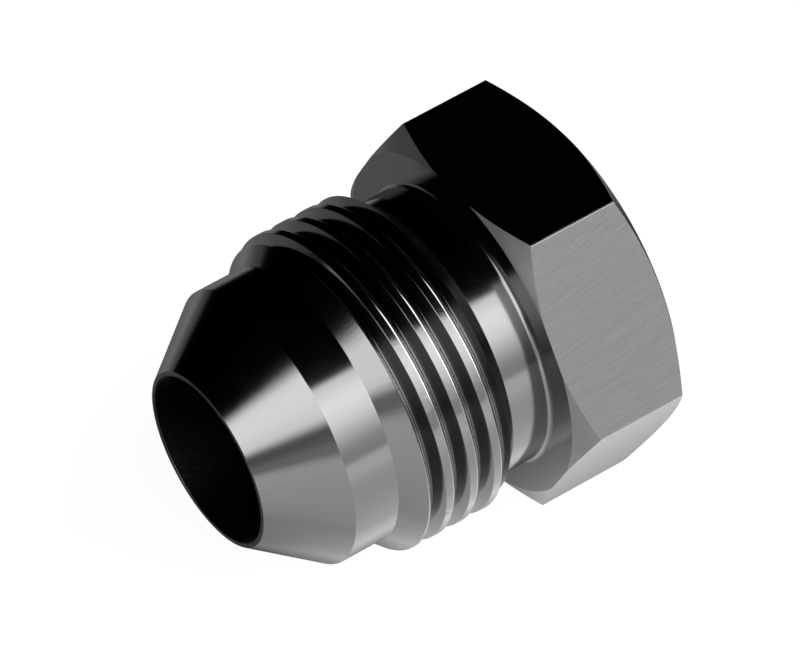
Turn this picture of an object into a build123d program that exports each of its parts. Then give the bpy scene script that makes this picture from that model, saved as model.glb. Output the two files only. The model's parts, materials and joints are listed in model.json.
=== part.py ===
"""A 37 degree flare plug, turned in one piece from hexagon bar, 3/4-16 UNF (dash 8).

The plug is made upright, nose down, with its axis on Z, its nose face on Z = 0 and local +X
square to the flat of the head that ends on top. It is then laid down as it comes to rest on a
table: on the front edge of one flat and on the first crest of the thread, with +X from nose to
head, +Z up and the origin under the middle of the part. Millimetres.
"""

import os
from math import atan2, ceil, cos, radians, sin, sqrt, tan

from build123d import *

# Nose: a flat rim, the 37 degree sealing cone and a plain pilot
nose_diameter = 10.7
cone_half_angle = 37
pilot_diameter = 16.7
pilot_end = 6.8

# Thread: 3/4-16 UNF, right hand
thread_diameter = 19.05
thread_pitch = 25.4 / 16
thread_depth = 0.92
thread_flank_angle = 30
groove_flat = 0.3
groove_run_in = 1.98
lead_in_angle = 45
thread_end = 13.25
end_wall_angle = 45

# Relief neck behind the thread, with the low collar that it ends in on the shoulder
neck_diameter = 16.15
neck_fillet = 0.45
collar_diameter = 17.5
collar_edge = 0.13

# Hexagon head
head_start = 16.9
head_length = 7.5
across_flats = 20.55
front_face_diameter = 20.75
back_face_diameter = 19.8
head_chamfer_angle = 30

# Blind bore, drilled from the nose
bore_diameter = 10.1
bore_depth = 13.5
drill_point_angle = 118
bore_edge = 0.1

# Values worked out from the sizes above
nose_r = nose_diameter / 2
pilot_r = pilot_diameter / 2
thread_r = thread_diameter / 2
root_r = thread_r - thread_depth
neck_r = neck_diameter / 2
collar_r = collar_diameter / 2
bore_r = bore_diameter / 2
apothem = across_flats / 2
corner_r = across_flats / sqrt(3)
front_face_r = front_face_diameter / 2
back_face_r = back_face_diameter / 2
overall_length = head_start + head_length

cone_end = (pilot_r - nose_r) / tan(radians(cone_half_angle))
lead_in_end = pilot_end + (thread_r - pilot_r) / tan(radians(lead_in_angle))
neck_start = thread_end + (thread_r - neck_r) / tan(radians(end_wall_angle))
chamfer_slope = tan(radians(head_chamfer_angle))
front_corner = head_start + (corner_r - front_face_r) * chamfer_slope
back_corner = overall_length - (corner_r - back_face_r) * chamfer_slope
drill_point = bore_r / tan(radians(drill_point_angle / 2))

# The groove's tool stands a little outside the crests, so that it leaves the metal cleanly. It
# starts in the air beside the pilot and runs out into the relief neck, clear of the collar.
tool_overlap = 0.15
collar_clearance = 0.3
groove_height = thread_depth + tool_overlap
groove_mouth = groove_flat + 2 * groove_height * tan(radians(thread_flank_angle))
groove_start = pilot_end - groove_run_in
groove_end = head_start - collar_edge - collar_clearance - groove_mouth / 2

# Resting attitude: the head is tipped up until the first full crest touches the table
tilt = atan2(apothem - thread_r, head_start - lead_in_end)

with BuildPart() as upright:
    # Hexagon head: the bar, with both ends turned to a 30 degree chamfer
    with BuildSketch(Plane.XY.offset(head_start)):
        RegularPolygon(apothem, 6, major_radius=False, rotation=30)
    extrude(amount=head_length)
    with BuildSketch(Plane.XZ):
        with BuildLine():
            Polyline(
                (0, head_start),
                (front_face_r, head_start),
                (corner_r, front_corner),
                (corner_r, back_corner),
                (back_face_r, overall_length),
                (0, overall_length),
                close=True,
            )
        make_face()
    revolve(axis=Axis.Z, mode=Mode.INTERSECT)

    # Half section of the turning: nose, cone, pilot, lead-in, thread blank, wall and neck
    with BuildSketch(Plane.XZ) as half_section:
        with BuildLine():
            Polyline(
                (0, 0),
                (nose_r, 0),
                (pilot_r, cone_end),
                (pilot_r, pilot_end),
                (thread_r, lead_in_end),
                (thread_r, thread_end),
                (neck_r, neck_start),
                (neck_r, head_start - collar_edge),
                (collar_r - collar_edge, head_start - collar_edge),
                (collar_r, head_start),
                (0, head_start),
                close=True,
            )
        make_face()
        neck_corner = half_section.vertices().sort_by_distance((neck_r, head_start - collar_edge))[0]
        fillet(neck_corner, radius=neck_fillet)
    revolve(axis=Axis.Z)

    # Thread groove: a truncated 60 degree vee swept along a right-hand helix, one turn at a time
    for turn in range(ceil((groove_end - groove_start) / thread_pitch)):
        turn_start = groove_start + turn * thread_pitch
        turn_height = min(thread_pitch, groove_end - turn_start)
        with BuildLine(Plane.XY.offset(turn_start)):
            helix = Helix(thread_pitch, turn_height, root_r)
        with BuildSketch(Plane(helix @ 0, x_dir=(1, 0, 0), z_dir=helix % 0)):
            with BuildLine():
                Polyline(
                    (0, -groove_flat / 2),
                    (groove_height, -groove_mouth / 2),
                    (groove_height, groove_mouth / 2),
                    (0, groove_flat / 2),
                    close=True,
                )
            make_face()
        sweep(path=helix, is_frenet=True, mode=Mode.SUBTRACT)

    # Blind bore with its drill point and a broken edge at the mouth
    with BuildSketch(Plane.XZ):
        with BuildLine():
            Polyline(
                (0, -tool_overlap),
                (bore_r + bore_edge, -tool_overlap),
                (bore_r + bore_edge, 0),
                (bore_r, bore_edge),
                (bore_r, bore_depth),
                (0, bore_depth + drill_point),
                close=True,
            )
        make_face()
    revolve(axis=Axis.Z, mode=Mode.SUBTRACT)

axis_dir = Vector(cos(tilt), 0, sin(tilt))
up_dir = Vector(-sin(tilt), 0, cos(tilt))
front_x = -nose_r * sin(tilt)
back_x = overall_length * cos(tilt) + back_face_r * sin(tilt)
floor_drop = apothem * cos(tilt) - head_start * sin(tilt)
resting = Plane(origin=(-(front_x + back_x) / 2, 0, floor_drop), x_dir=up_dir, z_dir=axis_dir)

with BuildPart() as flare_plug:
    add(upright.part.moved(resting.location))

flare_plug.part.label = "flare_plug"

os.makedirs("parts", exist_ok=True)
export_step(flare_plug.part, "parts/flare_plug.step")
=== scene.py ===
"""Dresses the flare plug for its picture and sets up the studio around it.

The plug is modelled upright in millimetres, nose down, with its axis on Z and local +X square
to the flat of the head that ends on top. It is then scaled to metres and laid down where the
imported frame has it. The studio is a pale floor and a world that is white to the camera. The
plug sees another one: a broad front light with sharp edges, which gives black metal its bright
bands, a narrow lamp at the light's end, and darkness elsewhere.
"""

import json
from math import pi, radians, sin, sqrt, tan
from types import SimpleNamespace

import bpy
from mathutils import Matrix, Vector


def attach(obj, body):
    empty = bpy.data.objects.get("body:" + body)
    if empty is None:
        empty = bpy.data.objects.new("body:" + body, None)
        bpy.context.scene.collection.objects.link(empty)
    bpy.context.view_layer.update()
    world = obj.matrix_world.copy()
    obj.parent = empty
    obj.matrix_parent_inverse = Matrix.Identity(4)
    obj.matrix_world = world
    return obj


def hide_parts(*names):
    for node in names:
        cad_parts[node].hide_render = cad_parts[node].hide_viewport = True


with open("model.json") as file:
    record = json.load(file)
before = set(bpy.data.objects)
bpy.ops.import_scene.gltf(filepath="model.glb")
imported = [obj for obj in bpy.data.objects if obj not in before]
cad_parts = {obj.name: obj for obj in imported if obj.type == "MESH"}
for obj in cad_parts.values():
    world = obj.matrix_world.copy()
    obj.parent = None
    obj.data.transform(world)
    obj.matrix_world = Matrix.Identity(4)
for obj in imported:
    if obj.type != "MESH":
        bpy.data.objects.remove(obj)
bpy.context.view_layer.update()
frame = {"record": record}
mounts = {mount["name"]: mount for mount in frame["record"]["mounts"]}

bl_info = {
    "name": "Flare plug",
    "version": (1, 0, 0),
    "blender": (4, 5, 0),
    "location": "3D View > Sidebar > Flare plug",
    "description": "Builds a black flare plug and the studio that it is photographed in",
    "category": "Object",
}

MM = 0.001

# Steps around the axis and each rounding, and turns of the groove, enough to pass the last crest
SEGMENTS = 192
ROUNDING_STEPS = 5
GROOVE_TURNS = 6

# Finishes of the plug, in the order of its material slots. The groove's root and the top flat also
# carry painted shade, and the root a painted reflection too.
TURNED, DRAWN, BORED, ROOT, TOP = range(5)


def length(name, description, millimetres):
    """A length property, written in millimetres and kept in metres"""
    return bpy.props.FloatProperty(
        name=name, description=description, default=millimetres * MM, unit="LENGTH", precision=6
    )


def angle(name, description, value):
    """An angle property, written in degrees"""
    return bpy.props.FloatProperty(
        name=name, description=description, default=radians(value), subtype="ANGLE"
    )


def factor(name, description, value):
    """A plain number property"""
    return bpy.props.FloatProperty(name=name, description=description, default=value, precision=4)


def colour(name, description, value):
    """A colour property"""
    return bpy.props.FloatVectorProperty(
        name=name, description=description, default=value, subtype="COLOR", size=3
    )


class FlarePlugSizes(bpy.types.PropertyGroup):
    """Sizes of the plug"""

    nose_diameter: length("Nose", "Outer diameter of the flat rim around the bore", 10.7)
    cone_half_angle: angle("Cone half angle", "Slope of the sealing cone against the axis", 37)
    pilot_diameter: length("Pilot", "Plain diameter between cone and thread", 16.7)
    pilot_end: length("Pilot end", "Distance from the nose to the thread's lead-in", 6.8)
    thread_diameter: length("Thread", "Major diameter", 19.05)
    thread_pitch: length("Pitch", "Distance from one crest to the next", 25.4 / 16)
    thread_depth: length("Thread depth", "From crest to root", 0.82)
    groove_flat: length("Groove flat", "Width of the groove's root", 0.06)
    groove_entry: length("Groove entry", "How far past the pilot's end the groove starts", 0.68)
    groove_entry_angle: angle("Groove entry angle", "Where around the axis the groove starts", 195)
    thread_end: length("Thread end", "Distance from the nose to the end of the full crest", 13.25)
    neck_diameter: length("Neck", "Diameter of the relief behind the thread", 16.8)
    neck_fillet: length("Neck fillet", "Radius where the neck meets the shoulder", 0.22)
    head_start: length("Shoulder", "Distance from the nose to the head", 16.9)
    head_length: length("Head length", "Length of the hexagon", 7.5)
    across_flats: length("Across flats", "Spanner size of the hexagon", 20.55)
    front_face: length("Front face", "Diameter of the flat face on the thread side", 20.75)
    back_face: length("Back face", "Diameter of the flat end face", 19.8)
    head_chamfer: angle("Head chamfer", "Slope of the turned corners against the end faces", 30)
    bore_diameter: length("Bore", "Diameter of the blind bore", 10.1)
    bore_depth: length("Bore depth", "Depth of the full diameter", 13.5)
    drill_point: angle("Drill point", "Full angle of the bore's bottom", 118)
    crest_edge: length("Crest edge", "Rounding on the head side of the thread's crest", 0.3)
    root_edge: length("Root edge", "Rounding of the groove's root", 0.14)
    corner_edge: length("Corner edge", "Rounding on the hexagon's corners", 0.1)
    small_edge: length("Small edge", "Rounding on turned edges", 0.05)


class FlarePlugFinish(bpy.types.PropertyGroup):
    """Black finish of the plug, with painted shade on the top flat and in the groove's root, and a
    painted reflection of the root
    """

    metal: colour("Metal", "What the black metal mirrors with square on", (0.23, 0.23, 0.232))
    self_mirror: factor("Self mirror", "How strongly the metal shows in its own shine", 0.26)
    rim_gain: factor("Rim gain", "How much more the metal mirrors at a glancing angle", 18)

    turned_roughness: factor("Turned roughness", "Roughness of the turned surfaces", 0.13)
    cloudiness: factor("Cloudiness", "How much that roughness wanders", 0.06)
    ring_density: factor("Ring density", "Tool rings in each millimetre", 14)
    ring_depth: length("Ring depth", "Depth of the tool rings", 0.0006)

    flat_roughness: factor("Flat roughness", "Roughness of the hexagon's flats", 0.2)
    flat_tone: factor("Flat tone", "Brightness of the flats against the turned metal", 1.13)
    streak_contrast: factor("Streak contrast", "How much that brightness wanders", 0.5)
    streak_density: factor("Streak density", "Drawn streaks in each millimetre", 11)
    streak_length: factor("Streak length", "Length of a streak against its width", 40)
    streak_depth: length("Streak depth", "Depth of the drawn streaks", 0.004)
    streak_slant: angle("Streak slant", "How far the streaks lean away from the axis", 6)

    # Painted shade: the flat that lies on top is darkened and its glancing shine is cut, because of
    # how the light falls on it, not because it has a finish of its own
    top_painted_shade_tone: factor("Top painted shade", "Brightness of the flat on top against the others", 0.3)
    top_painted_shade_edge_tint: factor("Top painted shade edge tint", "What is left of its shine at a glancing angle", 0.35)

    bore_roughness: factor("Bore roughness", "Roughness of the bore's wall", 0.3)
    bore_tone: factor("Bore tone", "Brightness of the bore against the turned metal", 0.25)
    bore_grain: length("Bore grain", "Depth of the grain in the bore", 0.002)

    # Painted shade and a painted reflection: the groove's root is darkened, and it shows brighter
    # than the other metal in the flanks' shine
    root_painted_shade_tone: factor("Root painted shade", "Brightness of the groove's root against the crests", 0.4)
    root_painted_reflection: factor("Root painted reflection", "How strongly the root shows in the steep flanks", 1.6)


class FlarePlugStudio(bpy.types.PropertyGroup):
    """Camera, floor and light"""

    heading: angle("Heading", "Camera's direction, from +Y towards +X", 36.41365)
    height_angle: angle("Height angle", "How far the camera looks down", 43.20067)
    roll: angle("Roll", "Turn of the camera about its line of sight", 1.82757)
    distance: length("Distance", "From the camera to the point that it looks at", 457.34)
    focal_length: factor("Focal length", "For a 36 mm wide picture", 375.9008)
    aim: bpy.props.FloatVectorProperty(
        name="Aim",
        description="Point that the camera looks at",
        default=(0.91512 * MM, 0.78946 * MM, 11.35777 * MM),
        subtype="TRANSLATION",
        size=3,
    )
    floor_radius: length("Floor radius", "Radius of the pale floor", 1200)
    floor: colour("Floor", "Colour of the floor", (0.8, 0.8, 0.8))
    backdrop: factor("Backdrop", "Brightness of the floor to the camera", 1.1)
    shadow: factor("Shadow", "Share of the floor's white that the plug's shadow can darken", 0.15)
    lamp: factor("Lamp", "Brightness of the narrow lamp against the background's white", 8)


def mm(value):
    """Metres from a property as millimetres"""
    return value / MM


def worked_sizes():
    """All sizes in millimetres, with those that follow from the others"""
    own = bpy.context.scene.flare_plug_sizes
    s = SimpleNamespace()
    s.nose_r = mm(own.nose_diameter) / 2
    s.pilot_r = mm(own.pilot_diameter) / 2
    s.thread_r = mm(own.thread_diameter) / 2
    s.neck_r = mm(own.neck_diameter) / 2
    s.bore_r = mm(own.bore_diameter) / 2
    s.front_r = mm(own.front_face) / 2
    s.back_r = mm(own.back_face) / 2
    s.apothem = mm(own.across_flats) / 2
    s.corner_r = mm(own.across_flats) / sqrt(3)
    s.pitch = mm(own.thread_pitch)
    s.root_r = s.thread_r - mm(own.thread_depth)
    s.groove_flat = mm(own.groove_flat)
    s.pilot_end = mm(own.pilot_end)
    s.groove_start = s.pilot_end + mm(own.groove_entry)
    s.groove_entry_angle = own.groove_entry_angle
    s.cone_end = (s.pilot_r - s.nose_r) / tan(own.cone_half_angle)
    # Lead-in and end wall slope at 45 degrees, so each is as long as it is high
    s.lead_in_end = s.pilot_end + s.thread_r - s.pilot_r
    s.thread_end = mm(own.thread_end)
    s.neck_start = s.thread_end + s.thread_r - s.neck_r
    s.neck_fillet = mm(own.neck_fillet)
    s.head_start = mm(own.head_start)
    s.head_length = mm(own.head_length)
    s.overall = s.head_start + s.head_length
    s.chamfer_slope = tan(own.head_chamfer)
    s.bore_depth = mm(own.bore_depth)
    s.bore_end = s.bore_depth + s.bore_r / tan(own.drill_point / 2)
    s.crest_edge = mm(own.crest_edge)
    s.root_edge = mm(own.root_edge)
    s.corner_edge = mm(own.corner_edge)
    s.small_edge = mm(own.small_edge)
    return s


def placement(sizes):
    """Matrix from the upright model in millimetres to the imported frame"""
    axis = -Vector(mounts["nose_bore"]["axis"]).normalized()
    up = Vector((-axis.z, 0, axis.x))
    side = axis.cross(up)
    origin = Vector(mounts["head_end"]["pos_m"]) - sizes.overall * MM * axis
    turned = Matrix((up, side, axis)).transposed().to_4x4()
    return Matrix.Translation(origin) @ turned @ Matrix.Scale(MM, 4)


def rounded(corners):
    """Points (radius, height) of a line through corners (radius, height, rounding)"""
    points = []
    for index, (radius, height, rounding) in enumerate(corners):
        here = Vector((radius, height))
        if rounding == 0 or index in (0, len(corners) - 1):
            points.append(here)
            continue
        back = (Vector(corners[index - 1][:2]) - here).normalized()
        on = (Vector(corners[index + 1][:2]) - here).normalized()
        half = back.angle(on) / 2
        centre = here + (back + on).normalized() * rounding / sin(half)
        first = here + back * rounding / tan(half) - centre
        last = here + on * rounding / tan(half) - centre
        for step in range(ROUNDING_STEPS + 1):
            points.append(centre + first.slerp(last, step / ROUNDING_STEPS) * rounding)
    return points


def deselect_all():
    """Leave edit mode and select nothing"""
    if bpy.context.object and bpy.context.object.mode != "OBJECT":
        bpy.ops.object.mode_set(mode="OBJECT")
    bpy.ops.object.select_all(action="DESELECT")


def draw_line(name, points):
    """A new object with a line of edges in the XZ plane, drawn point by point, left in edit mode"""
    deselect_all()
    bpy.ops.mesh.primitive_plane_add(size=1)
    piece = bpy.context.object
    piece.name = name
    bpy.ops.object.mode_set(mode="EDIT")
    bpy.ops.mesh.merge(type="CENTER")
    here = Vector((0, 0))
    for number, point in enumerate(points):
        move = {"value": (point.x - here.x, 0, point.y - here.y)}
        if number == 0:
            bpy.ops.transform.translate(**move)
        else:
            bpy.ops.mesh.extrude_vertices_move(TRANSFORM_OT_translate=move)
        here = point
    bpy.ops.mesh.select_all(action="SELECT")
    return piece


def close_skin():
    """Merge what lies together and turn all faces outwards, in edit mode"""
    bpy.ops.mesh.select_all(action="SELECT")
    bpy.ops.mesh.remove_doubles(threshold=0.0001)
    bpy.ops.mesh.normals_make_consistent(inside=False)
    bpy.ops.object.mode_set(mode="OBJECT")


def turn_on_lathe(name, points):
    """A solid turned about Z from a line that starts and ends on the axis"""
    piece = draw_line(name, points)
    bpy.ops.mesh.spin(steps=SEGMENTS, angle=2 * pi, center=(0, 0, 0), axis=(0, 0, 1))
    close_skin()
    return piece


def modify(piece, kind, **settings):
    """Add a modifier to a piece and apply it"""
    deselect_all()
    bpy.context.view_layer.objects.active = piece
    piece.select_set(True)
    modifier = piece.modifiers.new(kind.title(), kind)
    for name, value in settings.items():
        setattr(modifier, name, value)
    bpy.ops.object.modifier_apply(modifier=modifier.name)


def combine(piece, tool, operation):
    """Join, cut or intersect a piece with a tool, which is used up"""
    modify(piece, "BOOLEAN", operation=operation, solver="EXACT", object=tool)
    bpy.data.objects.remove(tool)


def make_head(s):
    """The hexagon with both ends turned to a chamfer"""
    allowance = 0.5
    beyond = s.corner_r + allowance
    line_edge = 0.035
    deselect_all()
    bpy.ops.mesh.primitive_cylinder_add(
        vertices=6,
        radius=s.corner_r,
        depth=s.head_length + 2 * allowance,
        location=(0, 0, s.head_start + s.head_length / 2),
    )
    head = bpy.context.object
    head.name = "head"
    bpy.ops.object.transform_apply()
    bpy.ops.object.mode_set(mode="EDIT")
    bpy.ops.mesh.select_mode(type="EDGE")
    bpy.ops.mesh.select_all(action="DESELECT")
    bpy.ops.object.mode_set(mode="OBJECT")
    for edge in head.data.edges:
        low, high = (head.data.vertices[index].co for index in edge.vertices)
        edge.select = abs(low.z - high.z) > s.head_length / 2
    bpy.ops.object.mode_set(mode="EDIT")
    bpy.ops.mesh.bevel(offset=s.corner_edge, segments=3)
    bpy.ops.mesh.select_mode(type="VERT")
    bpy.ops.object.mode_set(mode="OBJECT")
    turned = turn_on_lathe(
        "head turning",
        rounded(
            [
                (0, s.head_start, 0),
                (s.front_r, s.head_start, s.small_edge),
                (beyond, s.head_start + (beyond - s.front_r) * s.chamfer_slope, 0),
                (beyond, s.overall - (beyond - s.back_r) * s.chamfer_slope, 0),
                (s.back_r, s.overall, s.small_edge),
                (0, s.overall, 0),
            ]
        ),
    )
    combine(head, turned, "INTERSECT")
    sharp = {"limit_method": "ANGLE", "angle_limit": radians(25)}
    modify(head, "BEVEL", width=line_edge, segments=2, **sharp)
    return head


def make_shank(s):
    """All that is turned in front of the head, with the bore

    Its foot stands a hair proud of the shoulder and reaches into the head, so that they join.
    """
    edge = s.small_edge
    proud = 0.01
    ledge = 0.02
    overlap = 0.4
    seat = s.head_start - proud
    seat_r = s.neck_r + s.neck_fillet + ledge
    inside = s.head_start + overlap
    return turn_on_lathe(
        "shank",
        rounded(
            [
                (0, s.bore_end, 0),
                (s.bore_r, s.bore_depth, 0),
                (s.bore_r, 0, edge),
                (s.nose_r, 0, edge),
                (s.pilot_r, s.cone_end, edge),
                (s.pilot_r, s.pilot_end, edge),
                (s.thread_r, s.lead_in_end, edge),
                (s.thread_r, s.thread_end, edge),
                (s.neck_r, s.neck_start, edge),
                (s.neck_r, seat, s.neck_fillet),
                (seat_r, seat, 0),
                (seat_r, inside, 0),
                (0, inside, 0),
            ]
        ),
    )


def make_groove(s):
    """The thread's groove, as the helix that its tool sweeps, with a round root and soft crests

    Just above the crest the tool widens at a low slope, so that a rounding ends smoothly on it.
    """
    flank = tan(radians(30))
    crest_slope = tan(radians(12))
    crest_sink = 0.1
    clearance = 0.03
    sharp_crest_edge = 0.04
    root = (s.root_r - s.groove_flat / 2 / flank, s.groove_start, s.root_edge)

    def side(rounding, way):
        """Corners above the crest and at its edge, on the nose side (-1) or the head side (1)"""
        edge_r = s.thread_r - rounding * crest_sink
        edge = (edge_r - root[0]) * flank
        top_r = s.thread_r + clearance
        places = [(top_r, edge + (top_r - edge_r) / crest_slope, 0), (edge_r, edge, rounding)]
        return [(r, s.groove_start + way * z, e) for r, z, e in places]

    line = side(s.crest_edge, -1) + [root] + side(sharp_crest_edge, 1)[::-1]
    line.append(line[0])
    groove = draw_line("groove", rounded(line))
    bpy.ops.mesh.remove_doubles(threshold=0.0001)
    bpy.ops.object.mode_set(mode="OBJECT")
    modify(
        groove,
        "SCREW",
        angle=2 * pi,
        screw_offset=s.pitch,
        iterations=GROOVE_TURNS,
        steps=SEGMENTS,
        render_steps=SEGMENTS,
    )
    groove.rotation_euler.z = s.groove_entry_angle
    bpy.ops.object.transform_apply()
    bpy.ops.object.mode_set(mode="EDIT")
    bpy.ops.mesh.select_all(action="SELECT")
    bpy.ops.mesh.fill_holes(sides=0)
    close_skin()
    return groove


class Number:
    """A shader socket that works in a Python expression: each operator adds a Math node"""

    def __init__(self, shader, socket):
        self.shader = shader
        self.socket = socket

    def __add__(self, other):
        return self.shader.math("ADD", self, other)

    __radd__ = __add__

    def __sub__(self, other):
        return self.shader.math("SUBTRACT", self, other)

    def __rsub__(self, other):
        return self.shader.math("SUBTRACT", other, self)

    def __mul__(self, other):
        return self.shader.math("MULTIPLY", self, other)

    def __truediv__(self, other):
        return self.shader.math("DIVIDE", self, other)

    def __neg__(self):
        return self.shader.math("MULTIPLY", self, -1.0)

    def between(self, low, high, start=0.0, end=1.0):
        """Softly from start, where this is low, to end, where it is high"""
        settings = {"interpolation_type": "SMOOTHSTEP"}
        return self.shader.node("MapRange", settings, (self, low, high, start, end)).out("Result")


class Made:
    """A shader node that has been made and linked"""

    def __init__(self, shader, node):
        self.shader = shader
        self.node = node

    def out(self, name):
        return Number(self.shader, self.node.outputs[name])


class Shader:
    """The node tree of a material or world"""

    def __init__(self, owner):
        owner.use_nodes = True
        self.tree = owner.node_tree
        self.tree.nodes.clear()

    def node(self, kind, settings=(), sockets=()):
        """Add a node: its type, its settings, then the values or links of its sockets"""
        node = self.tree.nodes.new("ShaderNode" + kind)
        for name, value in dict(settings).items():
            if name == "stops":
                self.set_stops(node.color_ramp, value)
            else:
                setattr(node, name, value)
        pairs = sockets.items() if isinstance(sockets, dict) else enumerate(sockets)
        for name, value in pairs:
            socket = node.inputs[name]
            if isinstance(value, Number):
                self.tree.links.new(value.socket, socket)
            else:
                socket.default_value = value
        return Made(self, node)

    def set_stops(self, ramp, stops):
        while len(ramp.elements) > 1:
            ramp.elements.remove(ramp.elements[0])
        for number, (place, value) in enumerate(stops):
            stop = ramp.elements[0] if number == 0 else ramp.elements.new(place)
            stop.position = place
            stop.color = (value, value, value, 1)

    def math(self, operation, *values):
        """One Math node on numbers or plain values"""
        return self.node("Math", {"operation": operation}, values).out(0)

    def noise(self, place, scale, detail, dimensions="3D", **others):
        """Soft random variation around 0.5"""
        sockets = {"Vector": place, "Scale": scale, "Detail": detail, **others}
        return self.node("TexNoise", {"noise_dimensions": dimensions}, sockets).out(0)

    def curve(self, value, low, high, most, stops):
        """A line through stops (place, height): places from low to high, heights up to most"""
        span = high - low
        placed = [((place - low) / span, height / most) for place, height in stops]
        return self.node("ValToRGB", {"stops": placed}, ((value - low) / span,)).out(0) * most

    def split(self, vector):
        """The three parts of a vector"""
        parts = self.node("SeparateXYZ", (), (vector,))
        return parts.out(0), parts.out(1), parts.out(2)

    def turned_to_camera(self, vector, studio):
        """Parts of a vector along the camera's heading, to its left and upwards"""
        sockets = {"Vector": vector, "Angle": studio.heading - pi / 2}
        return self.split(self.node("VectorRotate", {"rotation_type": "Z_AXIS"}, sockets).out(0))

    def to_camera(self):
        """1 for rays from the camera, also through clear things, and 0 for all others"""
        light_path = self.node("LightPath")
        through = light_path.out("Is Transmission Ray")
        return self.math("MAXIMUM", light_path.out("Is Camera Ray"), through)

    def bumped(self, height, depth):
        """Surface direction over fine relief of a given depth"""
        sockets = {"Strength": 1.0, "Distance": depth, "Height": height}
        return self.node("Bump", (), sockets).out(0)


def upright_coordinates(shader, sizes):
    """Place on the plug in millimetres, as it stands upright"""
    matrix = placement(sizes)
    place = shader.node("TexCoord").out("Object")
    settings = {"vector_type": "TEXTURE"}
    turn = matrix.to_3x3().normalized().to_euler()
    sockets = (place, matrix.to_translation(), turn, (MM, MM, MM))
    return shader.node("Mapping", settings, sockets).out(0)


def metal_surface(
    shader, finish, roughness, bump, tone=1.0, self_mirror=None, rim_gain=None, edge_tint=1.0
):
    """The black metal as one shiny surface, with its colour made lighter or darker by the tone

    Black metal mirrors little square on and far more at a glancing angle. It shows in its own
    shine only faintly, as its studio's lights are far brighter than the plug is.
    """
    self_mirror = finish.self_mirror if self_mirror is None else self_mirror
    rim_gain = finish.rim_gain if rim_gain is None else rim_gain
    facing = shader.node("LayerWeight", (), {"Blend": 0.5, "Normal": bump}).out("Facing")
    again = shader.node("LightPath").out("Is Glossy Ray")
    glancing = 1 + shader.math("POWER", facing, 5.0) * rim_gain
    # The tone also carries the painted shade of the top flat and the groove's root, and the self
    # mirror carries the root's painted reflection
    gain = glancing * tone * (1 - again * (1 - self_mirror))
    scaled = {"Vector": finish.metal, "Scale": gain}
    base = shader.node("VectorMath", {"operation": "SCALE"}, scaled)
    limit = shader.node("VectorMath", {"operation": "MINIMUM"}, (base.out(0), (1, 1, 1)))
    sockets = {
        "Base Color": limit.out(0),
        "Metallic": 1.0,
        "Roughness": roughness,
        "Normal": bump,
        "Specular Tint": (edge_tint, edge_tint, edge_tint, 1),
    }
    surface = shader.node("BsdfPrincipled", (), sockets).out(0)
    shader.node("OutputMaterial", (), (surface,))


def turned_metal(sizes, finish, name="turned black metal", tone=1.0, **special):
    """Turned metal: fine rings that the tool left, and a faint cloudiness"""
    material = bpy.data.materials.new(name)
    shader = Shader(material)
    place = upright_coordinates(shader, sizes)
    x, y, z = shader.split(place)
    around = shader.math("ARCTAN2", y, x)
    radius = shader.math("SQRT", x * x + y * y)

    # Rings follow one another along the axis and, on the cone and the faces, outwards. Each
    # changes a little on its way around.
    outwards = 0.7
    change = 1.5
    along = z + radius * outwards
    sockets = (along * finish.ring_density, around * change, 0.0)
    ring_place = shader.node("CombineXYZ", (), sockets).out(0)
    rings = shader.noise(ring_place, scale=1.0, detail=3.0, dimensions="2D")
    cloud = shader.noise(place, scale=0.8, detail=3.0)
    roughness = finish.turned_roughness + (cloud - 0.5) * finish.cloudiness
    bump = shader.bumped(rings, finish.ring_depth)
    metal_surface(shader, finish, roughness, bump, tone, **special)
    return material


def root_painted_shade_and_reflection_metal(sizes, finish):
    """The groove's root, with painted shade and a painted reflection: darkened to look at, but
    brightened where it shows in the steep flanks beside it
    """
    name = "root black metal, painted shade and reflection"
    return turned_metal(sizes, finish, name, finish.root_painted_shade_tone, self_mirror=finish.root_painted_reflection)


def drawn_metal(sizes, finish, name="drawn black metal", tone=1.0, **special):
    """The hexagon's flats: long fine streaks that lean a little away from the axis"""
    material = bpy.data.materials.new(name)
    shader = Shader(material)
    place = upright_coordinates(shader, sizes)
    height = shader.split(place)[2]
    twist = height * (tan(finish.streak_slant) / sizes.apothem)
    settings = {"rotation_type": "Z_AXIS"}
    twisted = shader.node("VectorRotate", settings, {"Vector": place, "Angle": twist}).out(0)

    uneven = 0.1
    unmoved = (0, 0, 0)
    sockets = (twisted, unmoved, unmoved, (1, 1, 1 / finish.streak_length))
    drawn_out = shader.node("Mapping", (), sockets).out(0)
    fine = shader.noise(drawn_out, scale=finish.streak_density, detail=4.0, Roughness=0.7)
    broad = shader.noise(drawn_out, scale=2.0, detail=2.0)
    roughness = finish.flat_roughness + (broad - 0.5) * uneven
    bump = shader.bumped(fine, finish.streak_depth)
    # On the top flat the tone is painted shade
    streaks = (finish.flat_tone + (fine - 0.5) * finish.streak_contrast) * tone
    metal_surface(shader, finish, roughness, bump, streaks, **special)
    return material


def top_painted_shade_metal(sizes, finish):
    """The flat that lies on top, with painted shade: darker and without its glancing shine, so that
    it stays dark against the white from every side
    """
    special = {"rim_gain": 0, "edge_tint": finish.top_painted_shade_edge_tint}
    return drawn_metal(sizes, finish, "top black metal, painted shade", finish.top_painted_shade_tone, **special)


def bored_metal(sizes, finish):
    """Inside of the bore: a rougher wall, darker than the turned metal"""
    material = bpy.data.materials.new("bored black metal")
    shader = Shader(material)
    place = upright_coordinates(shader, sizes)
    uneven = 0.2
    grain = shader.noise(place, scale=6.0, detail=4.0)
    roughness = finish.bore_roughness + (grain - 0.5) * uneven
    bump = shader.bumped(grain, finish.bore_grain)
    metal_surface(shader, finish, roughness, bump, finish.bore_tone)
    return material


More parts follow.
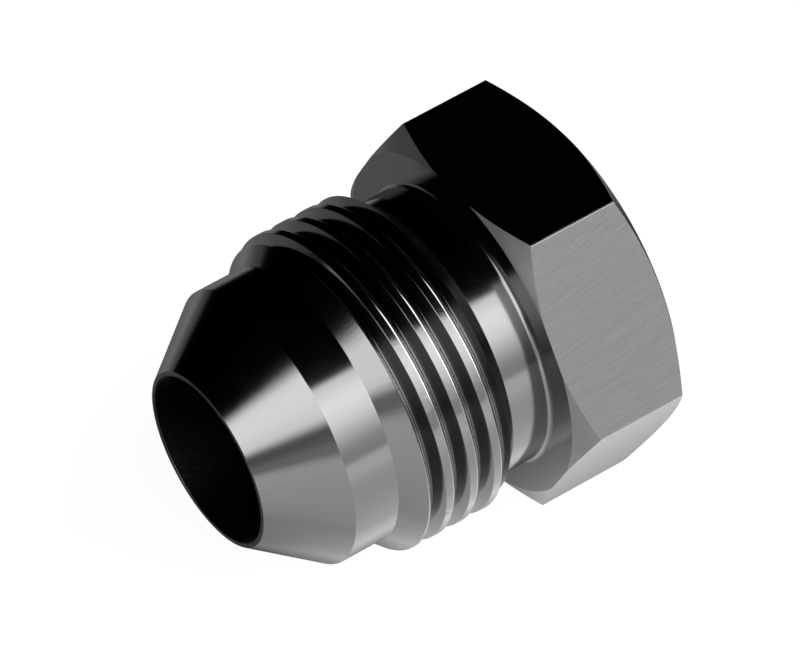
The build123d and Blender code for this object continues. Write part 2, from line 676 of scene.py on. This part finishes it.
def finish_of(face, s):
    """The finish that a face was left with, by where it is on the upright plug; the top flat and
    the groove's root get painted shade instead
    """
    near = 0.05
    upward = 0.9
    groove_end = s.thread_end + 0.4
    root_top = s.root_r + s.root_edge + 0.03
    height = face.center.z
    out = face.center.xy.length
    if out < s.bore_r + near and height < s.bore_end + 2 * near:
        return BORED
    if height > s.head_start + 0.01 and abs(face.normal.z) < near:
        # The flat that lies on top gets painted shade
        return TOP if face.normal.x > upward else DRAWN
    # The groove's root gets painted shade and a painted reflection
    if s.lead_in_end < height < groove_end and out < root_top:
        return ROOT
    return TURNED


def lay_finishes(plug, s, finish):
    """Make the finishes, and those with painted shade, and give each face its own"""
    for finished in (turned_metal, drawn_metal, bored_metal, root_painted_shade_and_reflection_metal, top_painted_shade_metal):
        plug.data.materials.append(finished(s, finish))
    for face in plug.data.polygons:
        face.material_index = finish_of(face, s)


class MESH_OT_flare_plug(bpy.types.Operator):
    """Model the plug upright, lay it down in the frame and finish it"""

    bl_idname = "mesh.flare_plug"
    bl_label = "Plug"
    bl_options = {"REGISTER", "UNDO"}

    def execute(self, context):
        s = worked_sizes()
        finish = context.scene.flare_plug_finish
        plug = make_shank(s)
        combine(plug, make_groove(s), "DIFFERENCE")
        combine(plug, make_head(s), "UNION")
        plug.name = "plug"
        lay_finishes(plug, s, finish)
        bpy.ops.object.shade_smooth_by_angle(angle=radians(32))
        modify(plug, "WEIGHTED_NORMAL", keep_sharp=True, weight=100)
        plug.matrix_world = placement(s)
        bpy.ops.object.transform_apply()
        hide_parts("flare_plug")
        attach(plug, "root")
        return {"FINISHED"}


def paint_world(world, studio):
    """White for the camera, and for everything else the lit studio

    Directions are degrees around the plug, 0 towards the camera and negative to its right, and
    degrees of elevation. Brightness 1 is the background's white.
    """
    softness = 2.5
    brightest = 4
    shader = Shader(world)
    direction = shader.node("TexCoord").out("Generated")
    ahead, left, up = shader.turned_to_camera(direction, studio)
    around = shader.math("ARCTAN2", left, -ahead) * (180 / pi)
    elevation = shader.math("ARCSINE", up) * (180 / pi)

    # The front light's upper edge, as an elevation for each direction around
    edge_stops = [(-130, 48), (-100, 50), (-80, 50.6), (-67, 57.5), (-45, 64)]
    edge_stops += [(-25, 66), (-10, 62), (10, 53), (30, 46), (60, 36)]
    upper_edge = shader.curve(around, -180, 180, 90, edge_stops)
    below_edge = (elevation - upper_edge).between(-softness, softness, 1.0, 0.0)

    # Its right part, brightest halfway up, with more light low down at the far right
    right_stops = [(0, 0.77), (6, 0.85), (10, 1.0), (19, 1.72)]
    right_stops += [(28.5, 2.6), (38, 3.05), (43, 3.12), (53.6, 2.5)]
    low_right = around.between(-100, -91, 1.3, 0.0) * elevation.between(30, 12)
    right_light = shader.curve(elevation, 0, 90, brightest, right_stops) + low_right

    # A narrow, much brighter lamp at its far right end
    lamp = around.between(-134, -130) * around.between(-100, -94, 1.0, 0.0)
    lamp = lamp * elevation.between(0, 2) * elevation.between(15, 50, 1.0, 0.05)
    right_light = right_light * (1 - lamp) + lamp * studio.lamp

    # Its left part, which starts higher up nearer the camera, over a faint low glow
    left_stops = [(0, 2.3), (9, 2.45), (18, 2.5), (26.5, 2.88), (35, 2.8), (50, 2.4)]
    left_start = (32 - around) * 0.67 + 5
    lit = (elevation - left_start).between(-5, 5)
    glow = elevation.between(0, 4, 0.4, 0.13) * elevation.between(8, 16, 1.0, 0.0)
    left_light = shader.curve(elevation, 0, 90, brightest, left_stops)
    left_light = left_light * lit + glow * (1 - lit)

    # Both parts together, between their outer ends
    to_left = around.between(2, 20)
    left_end = 56 - (elevation - 21) * 0.43
    ends = around.between(-136, -132) * (around - left_end).between(-8, 8, 1.0, 0.0)
    front = (right_light * (1 - to_left) + left_light * to_left) * ends * below_edge

    to_camera = shader.to_camera()
    sockets = {"Color": (1, 1, 1, 1), "Strength": front * (1 - to_camera) + to_camera}
    background = shader.node("Background", (), sockets).out(0)
    shader.node("OutputWorld", (), (background,))


def floor_material(studio):
    """Pale floor: white to the camera but for a soft shadow, and the lit table to the plug's shine

    Distances are metres from the plug, apart from those that the shade's stops give.
    """
    material = bpy.data.materials.new("pale floor")
    shader = Shader(material)
    place = shader.node("TexCoord").out("Object")
    ahead, left = shader.turned_to_camera(place, studio)[:2]
    reach = shader.math("SQRT", ahead * ahead + left * left)
    rightwards = (-left / reach).between(0, 0.8)

    # The table is lit a little more away from the plug, most of all on the right, and fades again
    # further out, sooner on the left
    near = reach.between(0.02, 0.07) * (rightwards * 0.3 + 0.15) + 1
    fade_left = reach.between(0.08, 0.25, 1.0, 0.35) * (1 - rightwards)
    fade_right = reach.between(0.2, 0.4, 1.0, 0.55) * rightwards

    # The plug shades the floor beside it, by millimetres across its axis, and far off it hides
    # the light from the floor behind it
    shade_stops = [(-20, 1), (-17, 0.97), (-13, 0.86), (-11, 0.7), (-9, 0.64), (-7.5, 0.5)]
    shade_stops += [(-6, 0.38), (-4.5, 0.25), (-3, 0.18), (-1, 0.05), (12, 0.03), (16, 0.1)]
    shade_stops += [(42, 0.13), (50, 0.1), (67, 0.02), (80, 0)]
    across = shader.split(place)[1]
    beyond = ahead - shader.math("MAXIMUM", -left, 0.0)
    far_off = reach.between(0.04, 0.1)
    across = (across * (1 - far_off) + beyond * far_off) / MM
    shaded = shader.curve(across, -20, 80, 1, shade_stops)

    white = (1, 1, 1, 1)
    sockets = {"Color": white, "Strength": near * (fade_left + fade_right) * shaded}
    table = shader.node("Emission", (), sockets).out(0)
    backdrop = shader.node("Emission", (), {"Color": white, "Strength": studio.backdrop}).out(0)
    matt = shader.node("BsdfDiffuse", (), {"Color": (*studio.floor, 1)}).out(0)
    open_floor = shader.node("MixShader", (), (studio.shadow, backdrop, matt)).out(0)
    plain = shader.node("MixShader", (), (shader.to_camera(), matt, open_floor)).out(0)
    to_shine = shader.node("LightPath").out("Is Glossy Ray")
    surface = shader.node("MixShader", (), (to_shine, plain, table)).out(0)
    shader.node("OutputMaterial", (), (surface,))
    return material


def place_camera(studio):
    """The camera, where the photograph was taken from"""
    heading = Matrix.Rotation(-studio.heading, 4, "Z")
    height = Matrix.Rotation(pi / 2 - studio.height_angle, 4, "X")
    view = heading @ height @ Matrix.Rotation(studio.roll, 4, "Z")
    back = view.to_3x3() @ Vector((0, 0, 1))
    bpy.ops.object.camera_add()
    camera = bpy.context.object
    camera.matrix_world = Matrix.Translation(Vector(studio.aim) + back * studio.distance) @ view
    camera.data.sensor_width = 36
    camera.data.lens = studio.focal_length
    camera.data.clip_start = 0.01
    bpy.context.scene.camera = camera


class SCENE_OT_flare_stage(bpy.types.Operator):
    """Set up camera, floor and light"""

    bl_idname = "scene.flare_stage"
    bl_label = "Stage"
    bl_options = {"REGISTER", "UNDO"}

    def execute(self, context):
        studio = context.scene.flare_plug_studio
        deselect_all()
        place_camera(studio)
        deselect_all()
        bpy.ops.mesh.primitive_circle_add(vertices=96, radius=studio.floor_radius, fill_type="NGON")
        floor = context.object
        floor.name = "floor"
        floor.data.materials.append(floor_material(studio))
        context.scene.world = bpy.data.worlds.new("studio")
        paint_world(context.scene.world, studio)
        context.scene.view_settings.view_transform = "Standard"
        return {"FINISHED"}


class VIEW3D_PT_flare_plug(bpy.types.Panel):
    """Lists the sizes, the finish, the studio and the operators"""

    bl_idname = "VIEW3D_PT_flare_plug"
    bl_label = "Flare plug"
    bl_space_type = "VIEW_3D"
    bl_region_type = "UI"
    bl_category = "Flare plug"

    def draw(self, context):
        for group in (
            context.scene.flare_plug_sizes,
            context.scene.flare_plug_finish,
            context.scene.flare_plug_studio,
        ):
            box = self.layout.box()
            for name in group.__annotations__:
                box.prop(group, name)
        self.layout.operator("mesh.flare_plug")
        self.layout.operator("scene.flare_stage")


CLASSES = (
    FlarePlugSizes,
    FlarePlugFinish,
    FlarePlugStudio,
    MESH_OT_flare_plug,
    SCENE_OT_flare_stage,
    VIEW3D_PT_flare_plug,
)


def register():
    for item in CLASSES:
        bpy.utils.register_class(item)
    bpy.types.Scene.flare_plug_sizes = bpy.props.PointerProperty(type=FlarePlugSizes)
    bpy.types.Scene.flare_plug_finish = bpy.props.PointerProperty(type=FlarePlugFinish)
    bpy.types.Scene.flare_plug_studio = bpy.props.PointerProperty(type=FlarePlugStudio)


def unregister():
    del bpy.types.Scene.flare_plug_studio
    del bpy.types.Scene.flare_plug_finish
    del bpy.types.Scene.flare_plug_sizes
    for item in reversed(CLASSES):
        bpy.utils.unregister_class(item)


def main():
    register()
    bpy.ops.mesh.flare_plug()
    bpy.ops.scene.flare_stage()


if __name__ == "__main__":
    main()
